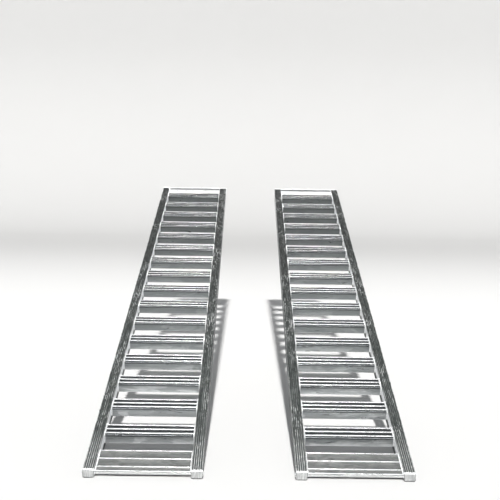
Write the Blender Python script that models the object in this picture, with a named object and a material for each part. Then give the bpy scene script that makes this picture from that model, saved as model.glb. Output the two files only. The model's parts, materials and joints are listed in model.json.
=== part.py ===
"""A matched pair of bi-fold aluminium loading ramps, standing at their working angle.

Metres, +Z up. The ramps climb towards +Y, and the truck deck would be at the +Y end.
Each ramp is first described in its own sloping frame: X across, S up the slope from
the front of the toe, N square to the tread, with N = 0 on top of the side rails.
"""

import math

import bmesh
import bpy
from mathutils import Vector

# ---------------------------------------------------------------- driving dimensions
SLOPE = math.radians(19.3)  # working angle
LENGTH = 2.990  # along the top of a rail
RAMP_W = 0.450  # over the two rails
RAMP_SPACING = 0.800  # centre to centre of the two ramps
TOE_H = 0.030  # height of the rail top above the ground at the front of the toe

RAIL_W = 0.044
RAIL_D = 0.070
RAIL_WALL = 0.004
RAIL_EDGE = 0.0018  # small radius on the rail's corners, as a chamfer
GROOVES = 5
GROOVE_TOP = 0.0042
GROOVE_FLOOR = 0.0026
GROOVE_D = 0.0018

RUNGS = 16
RUNG_FIRST = 0.228  # front rib of the lowest rung
RUNG_PITCH = 0.174
RUNG_NOSE = 0.012  # front corner ahead of the front rib
RUNG_TAIL = 0.056  # rear corner behind the front rib
RUNG_TOP = -0.0090
RUNG_DEEP = 0.040
RUNG_T = 0.004
RIB_PITCH = 0.025
RIB_BASE = 0.0080
RIB_TOP = 0.0056
RIB_H = 0.0042

TOE_TREAD_END = 0.129
TOE_TREAD_TOP = -0.0120
TOE_RIBS = (0.0085, 0.0330, 0.0785, 0.1240)

SHOE_T = 0.004
SHOE_LEN = 0.116

HEAD_START = 2.904  # plain plate between the rails, above the last rung
HEAD_TOP = -0.0060
HEAD_T = 0.006
LIP_LEN = 0.090
LIP_T = 0.008
LIP_LEG_T = 0.006
LIP_LEG_H = 0.062

FOLD_S = 1.524  # the rails are split here
FOLD_DROP = 0.0840  # hinge axis below the rail tops
FOLD_SPLIT = 0.0010  # gap between the butting rail ends
KNUCKLE_R = 0.0110
BORE_R = 0.0066
PIN_R = 0.0060
LEAF_T = 0.006
LEAF_W = 0.034
LEAF_NEAR = 0.0120
LEAF_FAR = 0.0780
SIDES = 24

GAP = 0.0003  # air between pieces that touch

# ---------------------------------------------------------------- derived
SIN, COS, TAN = math.sin(SLOPE), math.cos(SLOPE), math.tan(SLOPE)
END_Y = LENGTH * COS  # the plumb end of the rails, from the toe
TOP_Z = TOE_H + LENGTH * SIN
MID_Y = (END_Y + LIP_LEN) / 2
INNER_W = RAMP_W - 2 * RAIL_W
RAIL_X = (RAMP_W - RAIL_W) / 2


def to_slope(y, z):
    """Level coordinates, Y from the toe and Z from the ground, to the slope's S and N."""
    z -= TOE_H
    return y * COS + z * SIN, -y * SIN + z * COS


# ---------------------------------------------------------------- clear the scene
for old in list(bpy.data.objects):
    bpy.data.objects.remove(old, do_unlink=True)


def material(name, colour, roughness, metallic):
    made = bpy.data.materials.new(name)
    made.use_nodes = True
    shader = made.node_tree.nodes["Principled BSDF"]
    shader.inputs["Base Color"].default_value = (*colour, 1)
    shader.inputs["Roughness"].default_value = roughness
    shader.inputs["Metallic"].default_value = metallic
    made.diffuse_color = (*colour, 1)
    return made


RAIL_METAL = material("rail_aluminium", (0.23, 0.24, 0.24), 0.42, 1.0)
RUNG_METAL = material("rung_aluminium", (0.72, 0.73, 0.74), 0.32, 1.0)
TOE_METAL = material("toe_tread_aluminium", (0.55, 0.56, 0.56), 0.38, 1.0)
LIP_METAL = material("deck_lip_aluminium", (0.86, 0.87, 0.88), 0.28, 1.0)
SHOE_METAL = material("toe_shoe_aluminium", (0.70, 0.71, 0.71), 0.35, 1.0)
LEAF_METAL = material("hinge_leaf_steel", (0.45, 0.46, 0.47), 0.40, 1.0)
PIN_METAL = material("hinge_pin_steel", (0.55, 0.55, 0.55), 0.28, 1.0)


# ---------------------------------------------------------------- mesh makers
def finish_mesh(bm, name):
    bmesh.ops.remove_doubles(bm, verts=bm.verts, dist=1e-7)
    bmesh.ops.recalc_face_normals(bm, faces=bm.faces)
    mesh = bpy.data.meshes.new(name)
    bm.to_mesh(mesh)
    bm.free()
    return mesh


def prism(name, outline, x0, x1, bevelled=None, bevel=0.0, segments=2):
    """An outline in S and N, extruded across from x0 to x1.

    bevelled picks, by the two ends of an edge, the edges that get a rounded corner."""
    bm = bmesh.new()
    face = bm.faces.new([bm.verts.new((x0, s, n)) for s, n in outline])
    made = bmesh.ops.extrude_face_region(bm, geom=[face])
    moved = [item for item in made["geom"] if isinstance(item, bmesh.types.BMVert)]
    bmesh.ops.translate(bm, verts=moved, vec=(x1 - x0, 0, 0))
    if bevelled is not None:
        edges = [
            edge
            for edge in bm.edges
            if bevelled(edge.verts[0].co, edge.verts[1].co)
        ]
        bmesh.ops.bevel(
            bm,
            geom=edges,
            offset=bevel,
            offset_type="OFFSET",
            segments=segments,
            profile=0.5,
            affect="EDGES",
        )
    return finish_mesh(bm, name)


def turned(name, profile, axis_s, axis_n, sides=SIDES):
    """A round piece on an axis along X: profile is a list of (x, radius), closed at both ends."""
    bm = bmesh.new()
    rings = []
    for x, radius in profile:
        ring = []
        for k in range(sides):
            angle = 2 * math.pi * k / sides
            ring.append(
                bm.verts.new(
                    (x, axis_s + radius * math.cos(angle), axis_n + radius * math.sin(angle))
                )
            )
        rings.append(ring)
    for ring, following in zip(rings, rings[1:]):
        for k in range(sides):
            after = (k + 1) % sides
            bm.faces.new((ring[k], ring[after], following[after], following[k]))
    bm.faces.new(rings[0])
    bm.faces.new(rings[-1])
    return finish_mesh(bm, name)


def place(name, mesh, metal, parent, at, shift=(0, 0, 0), smooth=None):
    """A piece with its origin at `at`, in its ramp's sloping frame, under a parent whose own
    place in that frame is parent["at"]. The mesh is in the sloping frame, moved by shift."""
    piece = bpy.data.objects.new(name, mesh)
    bpy.context.scene.collection.objects.link(piece)
    if not mesh.materials:
        mesh.materials.append(metal)
    piece.parent = parent
    piece.location = Vector(at) + Vector(shift) - Vector(parent["at"])
    if smooth is not None:
        mesh.shade_smooth()
        mesh.set_sharp_from_angle(angle=math.radians(smooth))
    return piece


def centred(mesh, at):
    """Moves a mesh made in the sloping frame so that `at` becomes its origin."""
    for vertex in mesh.vertices:
        vertex.co -= Vector(at)
    return mesh


# ---------------------------------------------------------------- side rails
def rail_loops():
    """The rail's section at one station, as matching outer and inner loops of
    (x, n, is_bottom), with x from the rail's centre. Both have the same number of points."""
    half = RAIL_W / 2
    pitch = RAIL_W / (GROOVES + 0.6)
    outer = [(-half, -RAIL_EDGE, False), (-half + RAIL_EDGE, 0.0, False)]
    for k in range(GROOVES):
        x = (k - (GROOVES - 1) / 2) * pitch
        outer += [
            (x - GROOVE_TOP / 2, 0.0, False),
            (x - GROOVE_FLOOR / 2, -GROOVE_D, False),
            (x + GROOVE_FLOOR / 2, -GROOVE_D, False),
            (x + GROOVE_TOP / 2, 0.0, False),
        ]
    outer += [
        (half - RAIL_EDGE, 0.0, False),
        (half, -RAIL_EDGE, False),
        (half, -RAIL_D, True),
        (-half, -RAIL_D, True),
    ]
    cavity = half - RAIL_WALL
    roof = -RAIL_WALL - GROOVE_D
    inner = []
    top = [point for point in outer if not point[2]]
    for k, (x, _, _) in enumerate(top):
        share = k / (len(top) - 1)
        inner.append((-cavity + 2 * cavity * share, roof, False))
    inner += [
        (cavity, -RAIL_D + RAIL_WALL, True),
        (-cavity, -RAIL_D + RAIL_WALL, True),
    ]
    return outer, inner


def rail_mesh(name, stations):
    """stations is a list of functions from (n, is_bottom, is_inner) to (s, n)."""
    bm = bmesh.new()
    outer, inner = rail_loops()
    rows = []
    for station in stations:
        row = []
        for loop, is_inner in ((outer, False), (inner, True)):
            ring = []
            for x, n, is_bottom in loop:
                s, n = station(n, is_bottom, is_inner)
                ring.append(bm.verts.new((x, s, n)))
            row.append(ring)
        rows.append(row)
    count = len(outer)
    for (outer_a, inner_a), (outer_b, inner_b) in zip(rows, rows[1:]):
        for k in range(count):
            after = (k + 1) % count
            bm.faces.new((outer_a[k], outer_a[after], outer_b[after], outer_b[k]))
            bm.faces.new((inner_a[k], inner_b[k], inner_b[after], inner_a[after]))
    for outer_end, inner_end in (rows[0], rows[-1]):
        for k in range(count):
            after = (k + 1) % count
            bm.faces.new((outer_end[k], outer_end[after], inner_end[after], inner_end[k]))
    return finish_mesh(bm, name)


def toe_front(n, is_bottom, is_inner):
    """The plumb front end, just behind the shoe, with the underside cut to the ground."""
    front = SHOE_T + GAP
    if is_bottom:
        rise = SHOE_T + GAP + (RAIL_WALL if is_inner else 0.0)
        return to_slope(front, rise)
    return (front + n * SIN) / COS, n


def toe_knee(n, is_bottom, is_inner):
    """Where the flat underside starts to run out towards the toe."""
    rise = SHOE_T + GAP + (RAIL_WALL if is_inner else 0.0)
    low = -RAIL_D + (RAIL_WALL if is_inner else 0.0)
    s = (rise - TOE_H - low * COS) / SIN
    return s, n


def split_below(n, is_bottom, is_inner):
    return FOLD_S - FOLD_SPLIT / 2, n


def split_above(n, is_bottom, is_inner):
    return FOLD_S + FOLD_SPLIT / 2, n


def plumb_end(n, is_bottom, is_inner):
    return (END_Y - GAP + n * SIN) / COS, n


# ---------------------------------------------------------------- treads
def ribbed(s_ribs, top):
    points = []
    for s in s_ribs:
        points += [
            (s - RIB_BASE / 2, top),
            (s - RIB_TOP / 2, top + RIB_H),
            (s + RIB_TOP / 2, top + RIB_H),
            (s + RIB_BASE / 2, top),
        ]
    return points


def rung_mesh():
    """A channel with three ribs on top and a leg down at the front and at the rear.
    Its origin is under its front rib, level with the rail tops."""
    front, rear = -RUNG_NOSE, RUNG_TAIL
    top, low = RUNG_TOP, RUNG_TOP - RUNG_DEEP
    edge = 0.0012
    outline = [(front, low), (front, top - edge), (front + edge, top)]
    outline += ribbed([k * RIB_PITCH for k in range(3)], top)
    outline += [
        (rear - edge, top),
        (rear, top - edge),
        (rear, low),
        (rear - RUNG_T, low),
        (rear - RUNG_T, top - RUNG_T),
        (front + RUNG_T, top - RUNG_T),
        (front + RUNG_T, low),
    ]
    half = INNER_W / 2 - GAP
    return prism("rung", outline, -half, half)


def toe_tread_mesh():
    """The wide tread at the foot, with four ribs, a nose that turns down and a rear leg."""
    top, thick = TOE_TREAD_TOP, 0.006
    front = 0.0030
    nose_low = to_slope(0.0, 0.0065)[1]
    rear_low = top - 0.034
    outline = [(front, nose_low), (front, top - 0.0012), (front + 0.0012, top)]
    outline += ribbed(TOE_RIBS, top)
    outline += [
        (TOE_TREAD_END - 0.0012, top),
        (TOE_TREAD_END, top - 0.0012),
        (TOE_TREAD_END, rear_low),
        (TOE_TREAD_END - RUNG_T, rear_low),
        (TOE_TREAD_END - RUNG_T, top - thick),
        (front + 0.007, top - thick),
        (front + 0.007, nose_low),
    ]
    half = INNER_W / 2 - GAP
    return prism("toe_tread", outline, -half, half)


# ---------------------------------------------------------------- toe shoe
def shoe_mesh():
    """A bent plate: it closes the front of the rail and runs back under the cut underside.
    The two long lower edges are rounded, which rounds the front face's lower corners too."""
    knee = SHOE_LEN
    level = [
        (0.0, 0.0),
        (knee - 0.006, 0.0),
        (knee, 0.0018),
        (knee, SHOE_T),
        (SHOE_T, SHOE_T),
        (SHOE_T, TOE_H + SHOE_T * TAN),
        (0.0012, TOE_H + 0.0012 * TAN),
        (0.0, TOE_H - 0.0012),
    ]
    outline = [to_slope(y, z) for y, z in level]
    half = RAIL_W / 2
    corner = Vector(to_slope(0.0, 0.0))
    back = Vector(to_slope(knee - 0.006, 0.0))

    def lower_edge(a, b):
        first, second = Vector(a[1:]), Vector(b[1:])
        along = {0 if (p - corner).length < 1e-6 else 1 if (p - back).length < 1e-6 else 2 for p in (first, second)}
        return along == {0, 1} and abs(a[0] - b[0]) < 1e-6

    return prism("toe_shoe", outline, -half, half, lower_edge, 0.0034, 3)


# ---------------------------------------------------------------- deck lip
def deck_lip_mesh():
    """An angle that hooks over the deck, welded to the plain head plate between the rails.
    Half the angle's underside rests on the deck, and its leg bears on the deck's edge."""
    y = END_Y
    angle = [
        (y, TOP_Z - LIP_LEG_H),
        (y + LIP_LEG_T, TOP_Z - LIP_LEG_H),
        (y + LIP_LEG_T, TOP_Z - LIP_T),
        (y + LIP_LEN, TOP_Z - LIP_T),
        (y + LIP_LEN, TOP_Z - LIP_T * 0.45),
        (y + LIP_LEN - 0.006, TOP_Z),
        (y, TOP_Z),
    ]
    angle = [to_slope(*point) for point in angle]
    bm = bmesh.new()
    half, inside = RAMP_W / 2, INNER_W / 2 - GAP
    inner_y = [
        (END_Y + (HEAD_TOP - HEAD_T) * SIN) / COS,
        (END_Y + HEAD_TOP * SIN) / COS,
    ]
    # The head plate's own outline, ending on the plumb face of the angle.
    plate = [
        (inner_y[0], HEAD_TOP - HEAD_T),
        (inner_y[1], HEAD_TOP),
        (HEAD_START + 0.0015, HEAD_TOP),
        (HEAD_START, HEAD_TOP - 0.0015),
        (HEAD_START, HEAD_TOP - 0.026),
        (HEAD_START + 0.005, HEAD_TOP - 0.026),
        (HEAD_START + 0.005, HEAD_TOP - HEAD_T),
    ]
    # Level points on the angle's plumb front face, so that the plate joins it edge to edge.
    column = [
        to_slope(y, TOP_Z - LIP_LEG_H),
        (inner_y[0], HEAD_TOP - HEAD_T),
        (inner_y[1], HEAD_TOP),
        to_slope(y, TOP_Z),
    ]
    stations = [-half, -inside, inside, half]
    rings = []
    for x in stations:
        ring = {}
        for k, point in enumerate(angle):
            ring["a", k] = bm.verts.new((x, *point))
        for k in (1, 2):
            ring["c", k] = bm.verts.new((x, *column[k]))
        rings.append(ring)
    # The ring of the angle, in order, with the two points of the joint on its front face.
    order = [("a", k) for k in range(len(angle))] + [("c", 2), ("c", 1)]
    for index, (ring, following) in enumerate(zip(rings, rings[1:])):
        for k, key in enumerate(order):
            after = order[(k + 1) % len(order)]
            if index == 1 and key == ("c", 2) and after == ("c", 1):
                continue
            bm.faces.new((ring[key], ring[after], following[after], following[key]))
    for ring in (rings[0], rings[-1]):
        bm.faces.new([ring[key] for key in order])
    ends = []
    for ring in (rings[1], rings[2]):
        x = ring["c", 1].co.x
        end = [ring["c", 1], ring["c", 2]]
        end += [bm.verts.new((x, *point)) for point in plate[2:]]
        ends.append(end)
        bm.faces.new(end)
    for k in range(1, len(plate)):
        after = (k + 1) % len(plate)
        bm.faces.new((ends[0][k], ends[0][after], ends[1][after], ends[1][k]))
    return finish_mesh(bm, "deck_lip")


# ---------------------------------------------------------------- hinges
def arc(radius, first, last, count):
    """Points on a circle round the hinge axis, angles in degrees."""
    return [
        (
            FOLD_S + radius * math.cos(math.radians(first + (last - first) * k / count)),
            -FOLD_DROP + radius * math.sin(math.radians(first + (last - first) * k / count)),
        )
        for k in range(count + 1)
    ]


def leaf_mesh(name, side, knuckles):
    """A hinge leaf under a rail end: side is +1 up the slope and -1 down it. The plate is
    LEAF_W wide, and each knuckle is a pair of x ends. Made as stacked slices that share
    their faces' points, so it is one closed body."""
    under = -RAIL_D - GAP
    plate_low = under - LEAF_T
    near = FOLD_S + side * LEAF_NEAR
    far = FOLD_S + side * LEAF_FAR
    plate = [
        (near, under),
        (far, under),
        (far, under - LEAF_T * 0.4),
        (far - side * 0.004, plate_low),
        (near, plate_low),
    ]
    bm = bmesh.new()
    half = LEAF_W / 2
    face = bm.faces.new([bm.verts.new((-half, s, n)) for s, n in plate])
    made = bmesh.ops.extrude_face_region(bm, geom=[face])
    moved = [item for item in made["geom"] if isinstance(item, bmesh.types.BMVert)]
    bmesh.ops.translate(bm, verts=moved, vec=(LEAF_W, 0, 0))
    body = finish_mesh(bm, name)
    knuckle_meshes = []
    for k, (x0, x1) in enumerate(knuckles):
        # The arm runs from the plate into the knuckle: flat on top, tangent underneath.
        if side > 0:
            ring = arc(KNUCKLE_R, 90, 300, 16)
            outline = ring + [
                (near + 0.0080, plate_low - 0.0040),
                (near + 0.0180, under - LEAF_T * 0.5),
                (near + 0.0180, under - LEAF_T * 0.3),
                (near + 0.0010, under - 0.0004),
            ]
        else:
            ring = arc(KNUCKLE_R, 90, -120, 16)
            outline = ring + [
                (near - 0.0080, plate_low - 0.0040),
                (near - 0.0180, under - LEAF_T * 0.5),
                (near - 0.0180, under - LEAF_T * 0.3),
                (near - 0.0010, under - 0.0004),
            ]
        knuckle_meshes.append(prism(name + "_knuckle", outline, x0, x1))
    bore = turned(name + "_bore", [(-0.04, BORE_R), (0.04, BORE_R)], FOLD_S, -FOLD_DROP)
    return body, knuckle_meshes, bore


def helper(name, mesh, parent):
    """A mesh in the sloping frame that another piece is joined to or cut by."""
    tool = bpy.data.objects.new(name, mesh)
    bpy.context.scene.collection.objects.link(tool)
    tool.parent = parent
    tool.hide_render = True
    tool.display_type = "WIRE"
    return tool


def add_leaf(name, parent, x, side, knuckles):
    at = (x, FOLD_S, -FOLD_DROP)
    body, knuckle_meshes, bore = leaf_mesh(name, side, knuckles)
    leaf = place(name, centred(body, (0, FOLD_S, -FOLD_DROP)), LEAF_METAL, parent, at)
    operations = [("UNION", mesh) for mesh in knuckle_meshes] + [("DIFFERENCE", bore)]
    for k, (operation, mesh) in enumerate(operations):
        tool = helper(f"{name}_tool_{k}", centred(mesh, (0, FOLD_S, -FOLD_DROP)), parent)
        tool.location = leaf.location
        modifier = leaf.modifiers.new(f"{operation.lower()}_{k}", "BOOLEAN")
        modifier.operation = operation
        modifier.object = tool
        modifier.solver = "EXACT"
    return leaf


UPPER_KNUCKLE = [(-0.0090, 0.0090)]
LOWER_KNUCKLES = [(-0.0170, -0.0094), (0.0094, 0.0170)]


def pin_mesh():
    """A hinge pin with a head at one end and a riveted-over end at the other."""
    head, side = 0.0098, LEAF_W / 2 + GAP
    profile = [
        (-side - 0.0045, head * 0.80),
        (-side - 0.0034, head),
        (-side, head),
        (-side, PIN_R),
        (side, PIN_R),
        (side, head * 0.88),
        (side + 0.0024, head * 0.88),
        (side + 0.0040, head * 0.55),
    ]
    return turned("hinge_pin", profile, FOLD_S, -FOLD_DROP)


# ---------------------------------------------------------------- shared meshes
RUNG = rung_mesh()
TOE_TREAD = centred(toe_tread_mesh(), (0, 0.070, TOE_TREAD_TOP))
SHOE = centred(shoe_mesh(), (0, 0.0, 0.0))
DECK_LIP = centred(deck_lip_mesh(), (0, LENGTH, 0.0))
UPPER_RAIL = centred(rail_mesh("upper_rail", [split_above, plumb_end]), (0, FOLD_S, 0))
LOWER_RAIL = centred(
    rail_mesh("lower_rail", [toe_front, toe_knee, split_below]), (0, FOLD_S, 0)
)
PIN = centred(pin_mesh(), (0, FOLD_S, -FOLD_DROP))


# ---------------------------------------------------------------- the two ramps
def build_ramp(side, x_centre, outward):
    """One ramp. side names it, and outward is the X direction of the pair's outer edge."""
    frame = bpy.data.objects.new(f"{side}_upper_frame", None)
    bpy.context.scene.collection.objects.link(frame)
    frame.location = (x_centre, -MID_Y, TOE_H)
    frame.rotation_euler = (SLOPE, 0, 0)
    frame["at"] = (0.0, 0.0, 0.0)

    fold = bpy.data.objects.new(f"{side}_fold_axis", None)
    bpy.context.scene.collection.objects.link(fold)
    fold.parent = frame
    fold.location = (0, FOLD_S, -FOLD_DROP)
    fold["at"] = (0.0, FOLD_S, -FOLD_DROP)

    for edge, x in (("outer", outward * RAIL_X), ("inner", -outward * RAIL_X)):
        place(f"{side}_{edge}_upper_rail", UPPER_RAIL, RAIL_METAL, frame, (x, FOLD_S, 0))
        place(f"{side}_{edge}_lower_rail", LOWER_RAIL, RAIL_METAL, fold, (x, FOLD_S, 0))
        place(f"{side}_{edge}_toe_shoe", SHOE, SHOE_METAL, fold, (x, 0, 0))
        add_leaf(f"{side}_{edge}_hinge_upper_leaf", frame, x, 1, UPPER_KNUCKLE)
        add_leaf(f"{side}_{edge}_hinge_lower_leaf", fold, x, -1, LOWER_KNUCKLES)
        place(
            f"{side}_{edge}_hinge_pin",
            PIN,
            PIN_METAL,
            frame,
            (x, FOLD_S, -FOLD_DROP),
            smooth=35,
        )

    # Rung 1 is at the deck and rung 16 at the toe.
    for k in range(RUNGS):
        s = RUNG_FIRST + k * RUNG_PITCH
        parent = frame if s > FOLD_S else fold
        place(f"{side}_rung_{RUNGS - k:02d}", RUNG, RUNG_METAL, parent, (0, s, 0))

    place(f"{side}_toe_tread", TOE_TREAD, TOE_METAL, fold, (0, 0.070, TOE_TREAD_TOP))
    place(f"{side}_deck_lip", DECK_LIP, LIP_METAL, frame, (0, LENGTH, 0))


build_ramp("left", -RAMP_SPACING / 2, -1)
build_ramp("right", RAMP_SPACING / 2, 1)
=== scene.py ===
"""The looks of a pair of bi-fold aluminium loading ramps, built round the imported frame.

Every mesh is made in the ramps' sloping frame: X across, S up the slope from the front of
the toe, N square to the tread, with N = 0 on top of the side rails. SLOPED places it."""

import json
import math

import bmesh
import bpy
from mathutils import Matrix, Vector, noise

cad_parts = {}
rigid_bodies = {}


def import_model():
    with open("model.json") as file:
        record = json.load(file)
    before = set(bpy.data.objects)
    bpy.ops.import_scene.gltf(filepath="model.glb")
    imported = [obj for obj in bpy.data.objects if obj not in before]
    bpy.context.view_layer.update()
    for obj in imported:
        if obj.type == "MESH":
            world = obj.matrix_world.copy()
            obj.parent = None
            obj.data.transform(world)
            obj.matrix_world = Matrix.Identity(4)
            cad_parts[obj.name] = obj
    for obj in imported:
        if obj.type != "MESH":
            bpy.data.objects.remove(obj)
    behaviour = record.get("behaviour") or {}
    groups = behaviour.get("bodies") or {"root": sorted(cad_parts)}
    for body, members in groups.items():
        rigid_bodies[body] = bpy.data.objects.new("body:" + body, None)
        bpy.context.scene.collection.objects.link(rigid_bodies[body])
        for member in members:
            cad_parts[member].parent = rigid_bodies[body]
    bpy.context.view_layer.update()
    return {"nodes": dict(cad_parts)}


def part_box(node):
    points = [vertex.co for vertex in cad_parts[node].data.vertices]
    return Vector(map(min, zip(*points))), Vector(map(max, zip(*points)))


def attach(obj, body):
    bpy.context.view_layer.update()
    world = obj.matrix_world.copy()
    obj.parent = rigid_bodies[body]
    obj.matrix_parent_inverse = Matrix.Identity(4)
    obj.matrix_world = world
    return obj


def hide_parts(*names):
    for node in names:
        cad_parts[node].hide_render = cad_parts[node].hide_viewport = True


for old in list(bpy.data.objects):
    bpy.data.objects.remove(old, do_unlink=True)

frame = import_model()

# ------------------------------------------------------------------ the CAD's dimensions
SLOPE = math.radians(19.3)
SIN, COS, TAN = math.sin(SLOPE), math.cos(SLOPE), math.tan(SLOPE)
LENGTH, RAMP_W, SPACING, TOE_H = 2.990, 0.450, 0.800, 0.030
RAIL_W, RAIL_D, RAIL_WALL = 0.044, 0.070, 0.004
GROOVES, GROOVE_D = 5, 0.0018
RECESS_TOP, RECESS_LOW, RECESS_D = -0.0405, -0.0625, 0.0028
RUNGS, RUNG_FIRST, RUNG_PITCH = 16, 0.228, 0.174
RUNG_NOSE, RUNG_TAIL, RUNG_TOP, RUNG_DEEP, RUNG_T = 0.012, 0.056, -0.0090, 0.040, 0.004
RIB_PITCH, RIB_BASE, RIB_TOP, RIB_H = 0.025, 0.0080, 0.0056, 0.0042
TREAD_END, TREAD_TOP = 0.129, -0.0120
TREAD_RIBS = (0.0085, 0.0330, 0.0785, 0.1240)
SHOE_T, SHOE_LEN = 0.004, 0.116
HEAD_START, HEAD_TOP, HEAD_T = 2.904, -0.0060, 0.006
LIP_LEN, LIP_T, LIP_LEG_T, LIP_LEG_H = 0.090, 0.008, 0.006, 0.062
FOLD_S, FOLD_DROP, FOLD_SPLIT = 1.524, 0.0840, 0.0010
LEAF_T = 0.006
GAP = 0.0003
END_Y = LENGTH * COS
TOP_Z = TOE_H + LENGTH * SIN
INNER_W = RAMP_W - 2 * RAIL_W
RAIL_X = (RAMP_W - RAIL_W) / 2

# The toe's front face and the ground come from the frame, so that the two agree.
toe_low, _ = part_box("left_outer_toe_shoe")
TOE = Vector((0, toe_low.y, toe_low.z + TOE_H))
SLOPED = Matrix.Translation(TOE) @ Matrix.Rotation(SLOPE, 4, "X")


def to_slope(y, z):
    """Level coordinates, Y from the toe's front and Z from the ground, to S and N."""
    z -= TOE_H
    return y * COS + z * SIN, -y * SIN + z * COS


# ------------------------------------------------------------------ materials
class Look:
    """A node material with short ways to add and join nodes."""

    def __init__(self, name):
        self.material = bpy.data.materials.new(name)
        self.material.use_nodes = True
        self.tree = self.material.node_tree
        self.shader = self.tree.nodes["Principled BSDF"]
        level = self.tree.nodes.new("ShaderNodeTexCoord").outputs["Object"]
        turned = self.add("ShaderNodeVectorRotate", Vector=level, Center=TOE, Angle=-SLOPE)
        turned.rotation_type = "X_AXIS"
        shifted = self.add("ShaderNodeVectorMath", _0=turned, _1=TOE)
        shifted.operation = "SUBTRACT"
        self.coords = shifted.outputs[0]
        self.split = self.add("ShaderNodeSeparateXYZ", Vector=self.coords)

    def add(self, kind, **inputs):
        node = self.tree.nodes.new(kind)
        self.feed(node, **inputs)
        return node

    def feed(self, node, **inputs):
        for name, value in inputs.items():
            name = int(name[1:]) if name[0] == "_" else name.replace("_", " ")
            socket = node.inputs[name]
            if isinstance(value, bpy.types.NodeSocket):
                self.tree.links.new(value, socket)
            elif isinstance(value, bpy.types.Node):
                self.tree.links.new(value.outputs[0], socket)
            else:
                socket.default_value = value

    def noise(self, scale, detail=3.0, rough=0.55, at=(0, 0, 0), warp=0.0):
        """Noise of the object's own coordinates, with its own scale along each of X, S and N."""
        place = self.add("ShaderNodeMapping", Vector=self.coords, Scale=scale, Location=at)
        made = self.add(
            "ShaderNodeTexNoise",
            Vector=place,
            Scale=1.0,
            Detail=detail,
            Roughness=rough,
            Distortion=warp,
        )
        return made.outputs["Fac"]

    def math(self, how, a, b=0.0, c=0.0, clamp=False):
        made = self.add("ShaderNodeMath", _0=a, _1=b, _2=c)
        made.operation = how
        made.use_clamp = clamp
        return made.outputs[0]

    def ramp(self, value, low, high, to_low=0.0, to_high=1.0):
        """value mapped from low..high to to_low..to_high, smoothly, and held at the ends."""
        made = self.add("ShaderNodeMapRange", Value=value)
        made.interpolation_type = "SMOOTHSTEP"
        for name, number in zip(
            ("From Min", "From Max", "To Min", "To Max"), (low, high, to_low, to_high)
        ):
            made.inputs[name].default_value = number
        return made.outputs[0]

    def mix(self, share, a, b):
        """Colours a and b, by share of b."""
        made = self.add("ShaderNodeMix")
        made.data_type = "RGBA"
        for name, value in (("Factor", share), ("A", a), ("B", b)):
            socket = next(
                s for s in made.inputs if s.name == name and s.enabled and not s.hide
            )
            if isinstance(value, bpy.types.NodeSocket):
                self.tree.links.new(value, socket)
            elif name == "Factor":
                socket.default_value = value
            else:
                socket.default_value = (*value, 1) if len(value) == 3 else value
        return next(s for s in made.outputs if s.enabled)

    def bump(self, height, distance, strength=1.0, after=None):
        made = self.add("ShaderNodeBump", Height=height, Distance=distance, Strength=strength)
        if after is not None:
            self.feed(made, Normal=after)
        return made.outputs[0]

    def done(self, colour, roughness, normal=None, metallic=1.0):
        self.feed(self.shader, Base_Color=colour, Roughness=roughness, Metallic=metallic)
        if normal is not None:
            self.feed(self.shader, Normal=normal)
        self.material.diffuse_color = (0.6, 0.6, 0.6, 1)
        return self.material


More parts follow.
